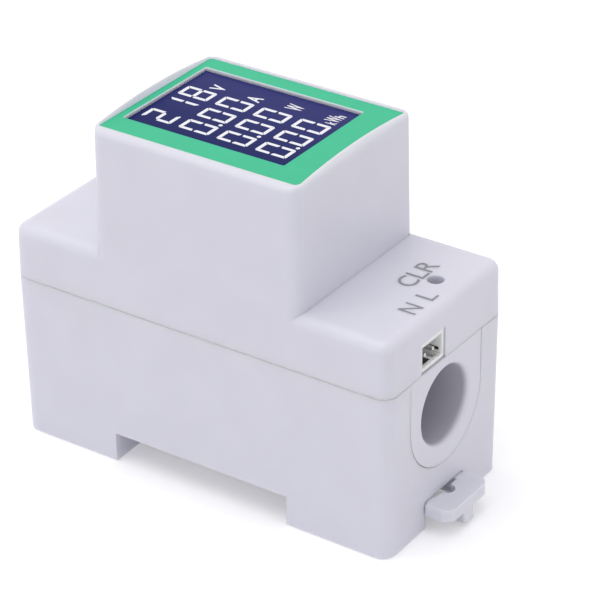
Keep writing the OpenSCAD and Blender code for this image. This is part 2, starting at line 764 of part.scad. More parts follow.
// Leads leave the resin on a circle midway between the cup's walls
function ct_lead_z(p) = bore_z + sqrt(pow((core_r1 + core_r2) / 2, 2) - pow(p[1] - bore_y, 2));

module ct_leads() {
    color([0.75, 0.2, 0.15]) for (p = ct_lead_at) {
        translate([ct_len / 2 - 1.4, p[1], ct_lead_z(p)]) rotate([0, 90, 0])
            cylinder(d = lead_d, h = p[0] - ct_len / 2 + 1.4);
        translate([p[0], p[1], ct_lead_z(p)]) sphere(d = lead_d);
        translate([p[0], p[1], ct_lead_z(p)]) cylinder(d = lead_d, h = main_top + 0.6 - ct_lead_z(p));
    }
}

module leads(points) {
    color(tin) at_points(points, main_bottom - lead_tail) cylinder(d = lead_d, h = board_t + lead_tail + eps);
}

module storage_capacitor() {
    color([0.15, 0.17, 0.3]) translate([storage_at[0], storage_at[1], main_top]) rotate_extrude()
        polygon([[0, 0], [storage_d / 2 - 0.3, 0], [storage_d / 2, 0.4], [storage_d / 2, 1.6],
            [storage_d / 2 - 0.3, 2], [storage_d / 2, 2.4], [storage_d / 2, storage_h - 0.5],
            [storage_d / 2 - 0.5, storage_h], [storage_d / 2 - 0.9, storage_h - 0.3], [0, storage_h - 0.3]]);
    leads(storage_leads);
}

module film_capacitor() {
    color([0.75, 0.3, 0.15]) translate([film_at[0], film_at[1], main_top])
        rounded_block(film_size[0], film_size[1], film_size[2], 0.6);
    leads(film_leads);
}

module varistor() {
    disc_z = main_top + varistor_lift + varistor_d / 2;
    color([0.2, 0.35, 0.65]) translate([varistor_at[0], varistor_at[1] + varistor_t / 2, disc_z])
        rotate([90, 0, 0]) cylinder(d = varistor_d, h = varistor_t);
    color(tin) at_points(varistor_leads, main_bottom - lead_tail)
        cylinder(d = lead_d, h = board_t + lead_tail + varistor_lift + 2);
}

module fusible_resistor() {
    lead_top = resistor_h + lead_d;
    color([0.45, 0.65, 0.6]) translate([resistor_leads[0][0], resistor_leads[0][1], main_top])
        cylinder(d = resistor_d, h = resistor_h);
    color(tin) {
        leads(resistor_leads);
        at_points(resistor_leads, main_top) cylinder(d = lead_d, h = lead_top);
        translate([resistor_leads[0][0] - lead_d / 2, resistor_at[1] - lead_d / 2, main_top + lead_top - fit])
            cube([pin_pitch + lead_d, lead_d, lead_d]);
    }
}

module metering_chip() {
    leg_x = (chip_size[0] + chip_leg) / 2;
    color(chip_black) translate([chip_at[0], chip_at[1], main_top]) {
        translate([-chip_size[0] / 2, -chip_size[1] / 2, 0.15]) cube(chip_size);
        for (i = [-3.5:3.5], s = [-1, 1])
            translate([s * leg_x - chip_leg / 2, i * chip_pitch - leg_w / 2, 0])
                cube([chip_leg, leg_w, leg_t]);
    }
}

module crystal() {
    color(tin) translate([crystal_at[0], crystal_at[1], main_top])
        rounded_block(crystal_size[0], crystal_size[1], crystal_size[2], crystal_size[1] / 2 - eps);
}

module regulator() {
    color(chip_black) translate([regulator_at[0], regulator_at[1], main_top]) {
        translate([-regulator_size[0] / 2, -regulator_size[1] / 2, 0.1]) cube(regulator_size);
        for (i = [-1:1]) translate([i * 1.5 - leg_w / 2, -regulator_size[1] / 2 - regulator_leg, 0])
            cube([leg_w, regulator_leg + 0.2, leg_w]);
    }
}

lower_case();
upper_case();
ct_sleeve();
rear_plate();
rail_clip();
front_label();
lcd_glass();
lcd_backlight();
lcd_pins();
display_board();
display_driver();
display_screws();
main_board();
main_screws();
display_link();
terminal_board();
terminal_screws();
terminal_link();
socket_shell();
socket_pins();
reset_switch();
reset_plunger();
ct_cup();
ct_core();
ct_potting();
ct_leads();
storage_capacitor();
film_capacitor();
varistor();
fusible_resistor();
metering_chip();
crystal();
regulator();
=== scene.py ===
"""Looks of a two-module energy meter for a 35 mm rail. All lengths are in metres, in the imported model's frame:
the origin is the centre of the seat on the rail, +Z points out of the front and +X to the socket's end."""
import json

import bmesh
import bpy
import numpy as np
from mathutils import Matrix, Vector


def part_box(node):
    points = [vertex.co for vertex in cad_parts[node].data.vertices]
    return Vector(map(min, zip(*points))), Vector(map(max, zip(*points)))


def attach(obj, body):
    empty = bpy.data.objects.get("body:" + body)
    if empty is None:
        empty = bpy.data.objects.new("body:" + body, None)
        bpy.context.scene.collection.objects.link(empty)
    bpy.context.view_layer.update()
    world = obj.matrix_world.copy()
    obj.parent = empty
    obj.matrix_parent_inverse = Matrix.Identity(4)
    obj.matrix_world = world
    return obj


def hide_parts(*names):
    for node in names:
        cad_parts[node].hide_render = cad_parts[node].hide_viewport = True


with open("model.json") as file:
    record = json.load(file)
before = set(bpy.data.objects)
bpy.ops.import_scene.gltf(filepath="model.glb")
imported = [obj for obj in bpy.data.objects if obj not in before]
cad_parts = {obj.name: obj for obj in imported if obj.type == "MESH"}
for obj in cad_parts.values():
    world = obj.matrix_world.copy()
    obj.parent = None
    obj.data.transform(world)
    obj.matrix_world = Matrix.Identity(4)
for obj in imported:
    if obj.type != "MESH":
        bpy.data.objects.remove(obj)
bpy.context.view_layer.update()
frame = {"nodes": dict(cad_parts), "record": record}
nodes = frame["nodes"]
mounts = {mount["name"]: mount for mount in frame["record"]["mounts"]}
MM = 0.001

# Heights in the housing, measured from the rail seat
FEET_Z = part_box("lower_case")[0].z
SEAM_Z = 25.5 * MM
SHOULDER_Z = 35.6 * MM
GLASS_TOP_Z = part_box("lcd_glass")[1].z
LABEL_TOP_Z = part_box("front_label")[1].z


def hex_colour(text):
    """Linear RGBA of an sRGB hex colour: c / 12.92 in the dark, else ((c + 0.055) / 1.055) to the power 2.4."""
    srgb = np.array([int(text[i:i + 2], 16) for i in (0, 2, 4)]) / 255
    linear = np.where(srgb <= 0.04045, srgb / 12.92, ((srgb + 0.055) / 1.055) ** 2.4)
    return (*linear.tolist(), 1.0)


def add(tree, kind, sockets=(), **settings):
    """A node with its settings; a socket gets either a value or a link from another socket."""
    node = tree.nodes.new(kind)
    for name, value in settings.items():
        setattr(node, name, value)
    for name, value in dict(sockets).items():
        if isinstance(value, bpy.types.NodeSocket):
            tree.links.new(value, node.inputs[name])
        else:
            node.inputs[name].default_value = value
    return node


def blank(name):
    """A material with an empty tree, that tree, and the Object coordinates in it."""
    material = bpy.data.materials.new(name)
    material.use_nodes = True
    tree = material.node_tree
    tree.nodes.clear()
    place = add(tree, "ShaderNodeTexCoord").outputs["Object"]
    return material, tree, place


def close(tree, shader):
    """Ends a material's tree: the shader becomes its surface."""
    add(tree, "ShaderNodeOutputMaterial", {"Surface": shader.outputs[0]})


def mottled(tree, place, colour, shift, patch):
    """The colour, lighter and darker by the share shift in soft patches of the given size."""
    base = np.array(hex_colour(colour))
    low = (*(base[:3] * (1 - shift)), 1)
    high = (*np.minimum(base[:3] * (1 + shift), 1), 1)
    cloud = add(tree, "ShaderNodeTexNoise", {"Vector": place, "Scale": 1 / patch, "Detail": 2.0})
    spread = add(tree, "ShaderNodeMapRange",
                 {"Value": cloud.outputs[0], "From Min": 0.35, "From Max": 0.65})
    mix = add(tree, "ShaderNodeMix", {0: spread.outputs[0], 6: low, 7: high}, data_type="RGBA")
    return mix.outputs[2]


def painted_shade_in_hole(tree, place, outside, colour, mount):
    """The outside colour, turning to painted shade of another colour on the wall of a hole along X, which a
    record's mount gives. The change runs over the lip, from 0.05 to 0.4 mm outside the wall."""
    centre = np.array(mount["pos_m"]) * (0, -1, -1)
    from_axis = add(tree, "ShaderNodeMapping", {"Vector": place, "Location": centre, "Scale": (0, 1, 1)})
    radius = add(tree, "ShaderNodeVectorMath", {0: from_axis.outputs[0]}, operation="LENGTH").outputs["Value"]
    lip_start, lip_end = (mount["dims"]["r_mm"] + np.array([0.05, 0.4])) * MM
    share = add(tree, "ShaderNodeMapRange", {"Value": radius, "From Min": lip_start, "From Max": lip_end})
    mix = add(tree, "ShaderNodeMix", {0: share.outputs[0], 6: hex_colour(colour), 7: outside}, data_type="RGBA")
    return mix.outputs[2]


def painted_light_in_seam(tree, place, outside, colour, reach, half_width):
    """The outside colour, turning to a paler one in the groove between the shells, on the sides beyond reach:
    painted light that lifts the groove's shade.
    """
    across = add(tree, "ShaderNodeSeparateXYZ", {"Vector": place})
    level = add(tree, "ShaderNodeMath", {0: across.outputs["Z"], 1: SEAM_Z, 2: half_width}, operation="COMPARE")
    away = add(tree, "ShaderNodeMath", {0: across.outputs["Y"]}, operation="ABSOLUTE")
    side = add(tree, "ShaderNodeMath", {0: away.outputs[0], 1: reach}, operation="GREATER_THAN")
    share = add(tree, "ShaderNodeMath", {0: level.outputs[0], 1: side.outputs[0]}, operation="MULTIPLY")
    mix = add(tree, "ShaderNodeMix", {0: share.outputs[0], 6: outside, 7: hex_colour(colour)}, data_type="RGBA")
    return mix.outputs[2]


def moulded(name, colour, grain, depth, roughness, edge=0.0, depth_lit=0.0, shift=0.012, patch=9 * MM,
            hole=None, seam=None):
    """A moulded plastic: even colour, fine tool texture of the given grain and depth, edges rounded by edge.
    Light goes in as deep as depth_lit and comes out again, so thin rims and ribs glow a little. A hole is the
    colour of the painted shade on its wall and its mount, and a seam is the colour of the painted light in its
    groove, its reach and its half width."""
    material, tree, place = blank(name)
    tool = add(tree, "ShaderNodeTexNoise", {"Vector": place, "Scale": 1 / grain, "Detail": 3.0})
    bump = {"Height": tool.outputs[0], "Distance": depth}
    if edge:
        bump["Normal"] = add(tree, "ShaderNodeBevel", {"Radius": edge}, samples=6).outputs[0]
    texture = add(tree, "ShaderNodeBump", bump)
    sheen = add(tree, "ShaderNodeTexNoise", {"Vector": place, "Scale": 1 / (4 * patch), "Detail": 1.0})
    gloss = add(tree, "ShaderNodeMapRange", {"Value": sheen.outputs[0], "From Min": 0.3, "From Max": 0.7,
                                             "To Min": roughness - 0.03, "To Max": roughness + 0.03})
    base = mottled(tree, place, colour, shift, patch)
    if hole:
        base = painted_shade_in_hole(tree, place, base, *hole)
    if seam:
        base = painted_light_in_seam(tree, place, base, *seam)
    close(tree, add(tree, "ShaderNodeBsdfPrincipled", {
        "Base Color": base, "Roughness": gloss.outputs[0], "IOR": 1.53,
        "Subsurface Weight": 1.0 if depth_lit else 0.0, "Subsurface Scale": depth_lit,
        "Subsurface Radius": (1, 1, 1), "Normal": texture.outputs[0]}))
    return material


def plated(name, colour, roughness, scratch, stretch=(1, 1, 1)):
    """A plated metal: lines as far apart as scratch, drawn along the axis with the smallest stretch."""
    material, tree, place = blank(name)
    along = add(tree, "ShaderNodeMapping", {"Vector": place, "Scale": stretch}).outputs[0]
    lines = add(tree, "ShaderNodeTexNoise", {"Vector": along, "Scale": 1 / scratch, "Detail": 4.0})
    bump = add(tree, "ShaderNodeBump", {"Height": lines.outputs[0], "Distance": 0.004 * MM})
    gloss = add(tree, "ShaderNodeMapRange", {"Value": lines.outputs[0], "To Min": roughness - 0.08,
                                             "To Max": roughness + 0.12})
    close(tree, add(tree, "ShaderNodeBsdfPrincipled", {
        "Base Color": mottled(tree, place, colour, 0.05, 2 * MM), "Metallic": 1.0,
        "Roughness": gloss.outputs[0], "Normal": bump.outputs[0]}))
    return material


def glossy(name, colour, roughness, ripple, depth, shift=0.03, specular=0.5):
    """A cast, dipped or shrunk skin: smooth and shiny, with a slow ripple of the given length and depth."""
    material, tree, place = blank(name)
    wave = add(tree, "ShaderNodeTexNoise", {"Vector": place, "Scale": 1 / ripple, "Detail": 1.0})
    bump = add(tree, "ShaderNodeBump", {"Height": wave.outputs[0], "Distance": depth})
    close(tree, add(tree, "ShaderNodeBsdfPrincipled", {
        "Base Color": mottled(tree, place, colour, shift, ripple), "Roughness": roughness,
        "Specular IOR Level": specular, "Normal": bump.outputs[0]}))
    return material


# The long sides lie farther than this from the middle plane, and the seam's groove keeps this near its height
LONG_SIDE_Y = 16 * MM
SEAM_HALF = 0.11 * MM
# ABS, injection moulded in a lightly spark-eroded tool: cool white and satin, with soft wide highlights. Along the
# long sides the seam's groove is painted paler, as painted light over its shade, so the seam shows only as a faint
# line
CASE_ABS = moulded("ABS_case_satin", "DFDEE9", 0.22 * MM, 0.006 * MM, 0.42, edge=0.3 * MM, depth_lit=1.2 * MM,
                   seam=("F0EFFF", LONG_SIDE_Y, SEAM_HALF))
# The sleeve is the same ABS. The wall of its long hole is painted darker, as painted shade inside the bore
SLEEVE_ABS = moulded("ABS_sleeve_satin", "DFDEE9", 0.22 * MM, 0.006 * MM, 0.42, edge=0.3 * MM,
                     hole=("C6C5D0", mounts["cable_hole"]))
# The clip is moulded from the same ABS in a finer tool, so it is a little smoother
CLIP_ABS = moulded("ABS_clip_satin", "E2E2EC", 0.18 * MM, 0.004 * MM, 0.38, edge=0.14 * MM, depth_lit=0.6 * MM)
# Polyamide 66, natural and moulded in a polished tool: milky white, slightly warmer than the case
SOCKET_NYLON = moulded("PA66_socket_natural", "F8F8F8", 0.15 * MM, 0.003 * MM, 0.33, edge=0.08 * MM,
                       depth_lit=0.6 * MM)
# Glass-filled thermoplastic of switches, pin bars and chips: near black, with a dull moulded grain
BLACK_MOULDING = moulded("PBT_black_moulded", "1E1E20", 0.12 * MM, 0.006 * MM, 0.55, shift=0.15, patch=1 * MM)
# Acetal, moulded: waxy and smooth where a pin has rubbed it. Its mid grey is painted shade, which darkens the
# reset hole that it sits in
PLUNGER_ACETAL = moulded("acetal_plunger_grey_painted_shade", "5E5E63", 0.2 * MM, 0.002 * MM, 0.3)
# PBT of the transformer's cup, moulded: deep blue and half matt
CUP_PBT = moulded("PBT_cup_blue", "1F3F86", 0.2 * MM, 0.006 * MM, 0.4, shift=0.04)
# Polyester of the film capacitor's box, moulded: orange brown and half matt
FILM_BOX = moulded("polyester_box_ochre", "C0702A", 0.2 * MM, 0.005 * MM, 0.38, shift=0.03)


def printed_film():
    """Polycarbonate film, screen-printed green on its back: even colour under a fine velvet face, and a pale cut
    edge with a painted highlight that glows as a bright line. Other surfaces see it paler, so that it doesn't tint
    the rim."""
    material, tree, place = blank("polycarbonate_film_green")
    facing = add(tree, "ShaderNodeSeparateXYZ",
                 {"Vector": add(tree, "ShaderNodeNewGeometry").outputs["True Normal"]})
    flat = add(tree, "ShaderNodeMath", {0: facing.outputs["Z"], 1: 0.5}, operation="GREATER_THAN")
    green = mottled(tree, place, "30C091", 0.015, 6 * MM)
    film = add(tree, "ShaderNodeMix", {0: flat.outputs[0], 6: hex_colour("E4E4EA"), 7: green}, data_type="RGBA")
    # The cut edge's painted highlight glows in its top 0.12 mm and fades to a quarter of that over the next 0.1 mm
    height = add(tree, "ShaderNodeSeparateXYZ", {"Vector": place}).outputs["Z"]
    edge = add(tree, "ShaderNodeMapRange", {"Value": height, "From Min": LABEL_TOP_Z - 0.22 * MM,
                                            "From Max": LABEL_TOP_Z - 0.12 * MM, "To Min": 0.1, "To Max": 0.4})
    side = add(tree, "ShaderNodeMath", {0: 1.0, 1: flat.outputs[0]}, operation="SUBTRACT")
    glow = add(tree, "ShaderNodeMath", {0: edge.outputs[0], 1: side.outputs[0]}, operation="MULTIPLY")
    bounce = add(tree, "ShaderNodeLightPath").outputs["Is Diffuse Ray"]
    film = add(tree, "ShaderNodeMix", {0: bounce, 6: film.outputs[2], 7: hex_colour("D2DEDC")}, data_type="RGBA")
    velvet = add(tree, "ShaderNodeTexNoise", {"Vector": place, "Scale": 1 / (0.2 * MM), "Detail": 2.0})
    bump = add(tree, "ShaderNodeBump", {"Height": velvet.outputs[0], "Distance": 0.004 * MM})
    close(tree, add(tree, "ShaderNodeBsdfPrincipled", {
        "Base Color": film.outputs[2], "Roughness": 0.45, "IOR": 1.58, "Specular IOR Level": 0.3,
        "Emission Color": hex_colour("E4F2EE"), "Emission Strength": glow.outputs[0], "Normal": bump.outputs[0]}))
    return material


def display_face():
    """Display glass under an anti-glare polariser: deep violet blue, paler where the light guide's lamp is."""
    material, tree, place = blank("display_polariser_navy")
    low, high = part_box("lcd_glass")
    across = add(tree, "ShaderNodeSeparateXYZ", {"Vector": place})
    far = add(tree, "ShaderNodeMapRange", {"Value": across.outputs["Y"], "From Min": low.y, "From Max": high.y})
    tint = add(tree, "ShaderNodeMix", {0: far.outputs[0], 6: hex_colour("0C1A5C"), 7: hex_colour("303272")},
               data_type="RGBA")
    haze = add(tree, "ShaderNodeTexNoise", {"Vector": place, "Scale": 1 / (0.15 * MM), "Detail": 2.0})
    bump = add(tree, "ShaderNodeBump", {"Height": haze.outputs[0], "Distance": 0.001 * MM})
    close(tree, add(tree, "ShaderNodeBsdfPrincipled", {
        "Base Color": tint.outputs[2], "Roughness": 0.28, "IOR": 1.5, "Specular IOR Level": 0.05,
        "Normal": bump.outputs[0]}))
    return material


def lit_segment():
    """A clear segment with the white backlight behind it: bright, with soft grain from the diffuser."""
    material, tree, place = blank("display_segment_lit")
    grain = add(tree, "ShaderNodeTexNoise", {"Vector": place, "Scale": 1 / (0.4 * MM), "Detail": 1.0})
    light = add(tree, "ShaderNodeMix", {0: grain.outputs[0], 6: hex_colour("F0F0F6"), 7: hex_colour("FFFFFF")},
                data_type="RGBA")
    close(tree, add(tree, "ShaderNodeBsdfPrincipled", {
        "Base Color": hex_colour("8A8A94"), "Roughness": 0.3, "Emission Color": light.outputs[2],
        "Emission Strength": 0.62}))
    return material


def pad_ink():
    """Pad-printed ink: a thin grey film that breaks up a little over the tool texture."""
    material, tree, place = blank("pad_print_grey")
    speckle = add(tree, "ShaderNodeTexNoise", {"Vector": place, "Scale": 1 / (0.15 * MM), "Detail": 3.0})
    thin = add(tree, "ShaderNodeMapRange", {"Value": speckle.outputs[0], "From Min": 0.3, "From Max": 0.7})
    ink = add(tree, "ShaderNodeMix", {0: thin.outputs[0], 6: hex_colour("84848E"), 7: hex_colour("989AA2")},
              data_type="RGBA")
    bump = add(tree, "ShaderNodeBump", {"Height": speckle.outputs[0], "Distance": 0.004 * MM})
    close(tree, add(tree, "ShaderNodeBsdfPrincipled", {
        "Base Color": ink.outputs[2], "Roughness": 0.5, "Normal": bump.outputs[0]}))
    return material


def circuit_board():
    """Glass-epoxy board: green solder mask over the faint weave of the glass cloth, 0.5 mm between threads."""
    material, tree, place = blank("glass_epoxy_board_green")
    # At scale 1 a wave texture has 20 / (2 pi) bands to a metre
    threads = {"Vector": place, "Scale": 2 * np.pi / (20 * 0.5 * MM), "Distortion": 0.4}
    warp = add(tree, "ShaderNodeTexWave", threads, bands_direction="X")
    weft = add(tree, "ShaderNodeTexWave", threads, bands_direction="Y")
    cloth = add(tree, "ShaderNodeMath", {0: warp.outputs[1], 1: weft.outputs[1]}, operation="ADD")
    shade = add(tree, "ShaderNodeMapRange", {"Value": cloth.outputs[0], "From Max": 2.0})
    mask = add(tree, "ShaderNodeMix", {0: shade.outputs[0], 6: hex_colour("14532C"), 7: hex_colour("1B6637")},
               data_type="RGBA")
    bump = add(tree, "ShaderNodeBump", {"Height": cloth.outputs[0], "Distance": 0.004 * MM})
    close(tree, add(tree, "ShaderNodeBsdfPrincipled", {
        "Base Color": mask.outputs[2], "Roughness": 0.28, "Normal": bump.outputs[0]}))
    return material


def wound_strip():
    """Nanocrystalline strip wound to a ring: turns 0.3 mm apart, drawn coarser than the real 0.02 mm to show."""
    material, tree, place = blank("nanocrystalline_strip_wound")
    low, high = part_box("ct_core")
    centre = (low + high) / 2
    turn = 0.3 * MM
    from_axis = add(tree, "ShaderNodeMapping", {"Vector": place, "Location": -centre, "Scale": (0, 1, 1)})
    radius = add(tree, "ShaderNodeVectorMath", {0: from_axis.outputs[0]}, operation="LENGTH")
    turns = add(tree, "ShaderNodeMath", {0: radius.outputs["Value"], 1: turn}, operation="PINGPONG")
    edge = add(tree, "ShaderNodeMapRange", {"Value": turns.outputs[0], "From Max": turn})
    shade = add(tree, "ShaderNodeMix", {0: edge.outputs[0], 6: hex_colour("77777C"), 7: hex_colour("B6B6BA")},
                data_type="RGBA")
    close(tree, add(tree, "ShaderNodeBsdfPrincipled", {
        "Base Color": shade.outputs[2], "Metallic": 1.0, "Roughness": 0.38}))
    return material


FILM_GREEN = printed_film()
DISPLAY = display_face()
SEGMENT = lit_segment()
INK = pad_ink()
BOARD = circuit_board()
CORE_STRIP = wound_strip()
# Acrylic light guide behind the display: frosted, pale and cool
LIGHT_GUIDE = glossy("acrylic_light_guide", "E9EAEE", 0.3, 3 * MM, 0.002 * MM, shift=0.01)
# Hot-tinned brass and copper: soft silvery grey with drawn lines
TIN = plated("tinned_brass", "C9C9C4", 0.3, 0.12 * MM, (1, 1, 0.1))
# Zinc-plated steel of the screws: bluish grey, with a fine uneven sheen
ZINC = plated("zinc_plated_steel", "B9BCC2", 0.34, 0.15 * MM)
# Epoxy potting: black, poured, with a settled ripple
RESIN = glossy("epoxy_potting_black", "151517", 0.2, 2.5 * MM, 0.03 * MM, shift=0.2)
# Soft PVC on the transformer's leads, extruded: signal red with a mild gloss
LEAD_PVC = glossy("pvc_lead_red", "B0201C", 0.36, 1.5 * MM, 0.004 * MM)
# PVC sleeve of the storage capacitor, shrunk on with heat: dark blue, tight and shiny
SLEEVE_PVC = glossy("pvc_sleeve_dark_blue", "262B4C", 0.24, 1.2 * MM, 0.01 * MM, shift=0.08)
# Epoxy that the varistor is dipped in: blue and shiny, with an orange-peel skin
DIPPED_BLUE = glossy("epoxy_dip_blue", "2E6BB0", 0.26, 0.6 * MM, 0.02 * MM, shift=0.05)
# Cement coat of the fusible resistor: grey green and dull
CEMENT = glossy("cement_coat_grey_green", "7FA8A0", 0.6, 0.4 * MM, 0.02 * MM, shift=0.06, specular=0.3)

FINISHES = {
    "shell_plastic": CASE_ABS, "clip_plastic": CLIP_ABS, "label_film": FILM_GREEN, "display_glass": DISPLAY,
    "light_guide": LIGHT_GUIDE, "circuit_board": BOARD, "tinned_metal": TIN, "screw_steel": ZINC,
    "socket_nylon": SOCKET_NYLON, "black_plastic": BLACK_MOULDING, "plunger_plastic": PLUNGER_ACETAL,
    "cup_plastic": CUP_PBT, "core_strip": CORE_STRIP, "resin": RESIN, "lead_insulation": LEAD_PVC,
    "capacitor_sleeve": SLEEVE_PVC, "film_box": FILM_BOX, "varistor_coat": DIPPED_BLUE,
    "resistor_coat": CEMENT}
for node in nodes.values():
    for slot in node.material_slots:
        slot.material = FINISHES[slot.material.name]

body_of = {node: body for body, members in frame["record"]["behaviour"]["bodies"].items() for node in members}


def add_piece(mesh, name, body, finish):
    """Puts a finished mesh into the scene as a piece on a body, with its material."""
    piece = bpy.data.objects.new(name, mesh)
    bpy.context.scene.collection.objects.link(piece)
    mesh.materials.clear()
    mesh.materials.append(finish)
    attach(piece, body)
    return piece


# Corners of triangles closer than this are one point, and edges that turn more than this stay sharp
SAME_POINT = 0.0005 * MM
SHARP_ANGLE = np.radians(24)


def smooth_moulding(node, name, finish):
    """The node's own surface with its loose triangles merged, flats kept flat and roundings shaded as curves."""
    mesh = nodes[node].data.copy()
    skin = bmesh.new()
    skin.from_mesh(mesh)
    bmesh.ops.remove_doubles(skin, verts=skin.verts, dist=SAME_POINT)
    skin.to_mesh(mesh)
    skin.free()
    if "custom_normal" in mesh.attributes:
        mesh.attributes.remove(mesh.attributes["custom_normal"])
    mesh.shade_smooth()
    mesh.set_sharp_from_angle(angle=SHARP_ANGLE)
    piece = add_piece(mesh, name, body_of[node], finish)
    flats = piece.modifiers.new("flats_stay_flat", "WEIGHTED_NORMAL")
    flats.keep_sharp = True
    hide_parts(node)


smooth_moulding("lower_case", "housing_base", CASE_ABS)
smooth_moulding("upper_case", "housing_cover", CASE_ABS)
smooth_moulding("ct_sleeve", "cable_sleeve", SLEEVE_ABS)
smooth_moulding("rear_plate", "cable_end_plate", CASE_ABS)
smooth_moulding("rail_clip", "sliding_rail_clip", CLIP_ABS)
smooth_moulding("socket_shell", "lead_socket_body", SOCKET_NYLON)


def plates(name, outlines, top, thickness, body, finish):
    """Thin flat plates. Each outline is an array of (x, y) corners, anticlockwise from above; it is repeated at
    the plate's two heights, and the side between corners k and k + 1 joins the two rings."""
    points, faces, start = [], [], 0
    for outline in outlines:
        count = len(outline)
        upper = np.column_stack([outline, np.full(count, top)])
        lower = np.column_stack([outline, np.full(count, top - thickness)])
        points += [upper, lower]
        ring = np.arange(count)
        following = (ring + 1) % count
        sides = np.column_stack([ring, ring + count, following + count, following]) + start
        faces += [(ring + start).tolist(), (ring[::-1] + count + start).tolist(), *sides.tolist()]
        start += 2 * count
    mesh = bpy.data.meshes.new(name)
    mesh.from_pydata(np.concatenate(points).tolist(), [], faces)
    mesh.update()
    add_piece(mesh, name, body, finish)


def sign_to_case(outline, column, row):
    """Turns an outline from a sign's own (u, v), v upwards, to the case's (x, y) = (row - v, column + u). All
    signs read along +Y, with their tops towards -X."""
    return np.column_stack([row - outline[:, 1], column + outline[:, 0]])


# A digit's size, its bars' width, how far bars keep off their mitre, its cut corners and its uprights' inner gap
DIGIT_W = 3.48 * MM
DIGIT_H = 6.1 * MM
BAR = 0.66 * MM
JOINT = 0.06 * MM
CORNER = 0.3 * MM
WAIST = 0.22 * MM
# Where each column of digits starts, where each row has its foot, and the bars that each digit lights
COLUMNS = np.array([-7.67, -2.54, 2.59]) * MM
ROWS = np.array([-11.35, -3.62, 4.15, 11.9]) * MM
LIT = {"0": "abcdef", "1": "bc", "2": "abged", "8": "abcdefg"}


def digit_bars():
    """The seven bars of a digit. An outer bar keeps to its side of the 45 degree line through the digit's
    corner, JOINT away from it, and the corner itself is cut off at CORNER from both sides. The upright bars
    end WAIST from the middle's height, round the middle bar's points."""
    w, h, t, m = DIGIT_W, DIGIT_H, BAR, DIGIT_H / 2
    far, near = (CORNER + JOINT) / 2, (CORNER - JOINT) / 2
    end = t + JOINT
    top = np.array([(CORNER, h), (far, h - near), (end, h - t), (w - end, h - t), (w - far, h - near),
                    (w - CORNER, h)])
    right = np.array([(w, h - CORNER), (w - near, h - far), (w - t, h - end), (w - t, m + t / 2 + WAIST / 2),
                      (w - t / 2, m + WAIST), (w, m + WAIST)])
    middle = np.array([(t / 2 + JOINT, m), (end, m + t / 2), (w - end, m + t / 2), (w - t / 2 - JOINT, m),
                       (w - end, m - t / 2), (end, m - t / 2)])
    turn_over, lift = np.array([1, -1]), np.array([0, h])
    swap, shift = np.array([-1, 1]), np.array([w, 0])
    lower_right = right * turn_over + lift
    return {"a": top, "b": right, "c": lower_right, "d": top * turn_over + lift,
            "e": lower_right * swap + shift, "f": right * swap + shift, "g": middle}


def anticlockwise(outline):
    """The outline with its corners in the order that gives a positive area by the shoelace formula."""
    x, y = outline.T
    area = np.sum(x * np.roll(y, -1) - np.roll(x, -1) * y)
    return outline if area > 0 else outline[::-1]


# The display's front polariser lies on the glass, inside the cover's window, and is smaller by its rim
POLARISER_Z = GLASS_TOP_Z + 0.35 * MM
POLARISER_T = 0.33 * MM
POLARISER_RIM = 0.5 * MM
glass_low, glass_high = (np.array(corner)[:2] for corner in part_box("lcd_glass"))
face_low, face_high = glass_low + POLARISER_RIM, glass_high - POLARISER_RIM
face = np.array([face_low, (face_high[0], face_low[1]), face_high, (face_low[0], face_high[1])])
plates("display_polariser", [face], POLARISER_Z, POLARISER_T, "meter", DISPLAY)

BARS = digit_bars()
readout_plates = []
for row, digits in zip(ROWS, ("218", "000", "000", "000")):
    for column, digit in zip(COLUMNS, digits):
        readout_plates += [anticlockwise(sign_to_case(BARS[bar], column, row)) for bar in LIT[digit]]
# The decimal point follows the first digit of every row but the first
DOT_R = 0.37 * MM
DOT_PLACE = np.array([COLUMNS[0] + DIGIT_W + 0.78 * MM, 0.38 * MM])
turn = np.linspace(0, 2 * np.pi, 12, endpoint=False)
dot = DOT_R * np.column_stack([np.cos(turn), np.sin(turn)]) + DOT_PLACE
readout_plates += [anticlockwise(sign_to_case(dot, 0, row)) for row in ROWS[1:]]
SEGMENT_T = 0.02 * MM
SEGMENT_Z = POLARISER_Z + SEGMENT_T
plates("readout_segments", readout_plates, SEGMENT_Z, SEGMENT_T, "meter", SEGMENT)


def lettering(name, words, top, finish):
    """Plain letters as one flat mesh. Each word is (text, u, v, width, height, weight): its strokes grow by the
    weight in ems, and its glyphs are scaled to the size, moved to their lower left corner and turned to read
    along +Y."""
    points, faces, start = [], [], 0
    for text, column, row, width, height, weight in words:
        curve = bpy.data.curves.new(name, "FONT")
        curve.body = text
        curve.offset = weight
        curve.resolution_u = 6
        holder = bpy.data.objects.new(name, curve)
        bpy.context.scene.collection.objects.link(holder)
        glyphs = bpy.data.meshes.new_from_object(holder.evaluated_get(bpy.context.evaluated_depsgraph_get()))
        flat = np.zeros(len(glyphs.vertices) * 3)
        glyphs.vertices.foreach_get("co", flat)
        flat = flat.reshape(-1, 3)[:, :2]
        flat = (flat - flat.min(0)) / np.ptp(flat, axis=0) * (width * MM, height * MM)
        points.append(np.column_stack([sign_to_case(flat, column * MM, row * MM), np.full(len(flat), top)]))
        around = np.zeros(len(glyphs.loops), dtype=int)
        glyphs.loops.foreach_get("vertex_index", around)
        firsts = np.zeros(len(glyphs.polygons), dtype=int)
        glyphs.polygons.foreach_get("loop_start", firsts)
        faces += [face.tolist() for face in np.split(around + start, firsts[1:])]
        start += len(flat)
        bpy.data.objects.remove(holder)
        bpy.data.curves.remove(curve)
        bpy.data.meshes.remove(glyphs)
    mesh = bpy.data.meshes.new(name)
    mesh.from_pydata(np.concatenate(points).tolist(), [], faces)
    mesh.update()
    if mesh.polygons[0].normal.z < 0:
        mesh.flip_normals()
    add_piece(mesh, name, "meter", finish)


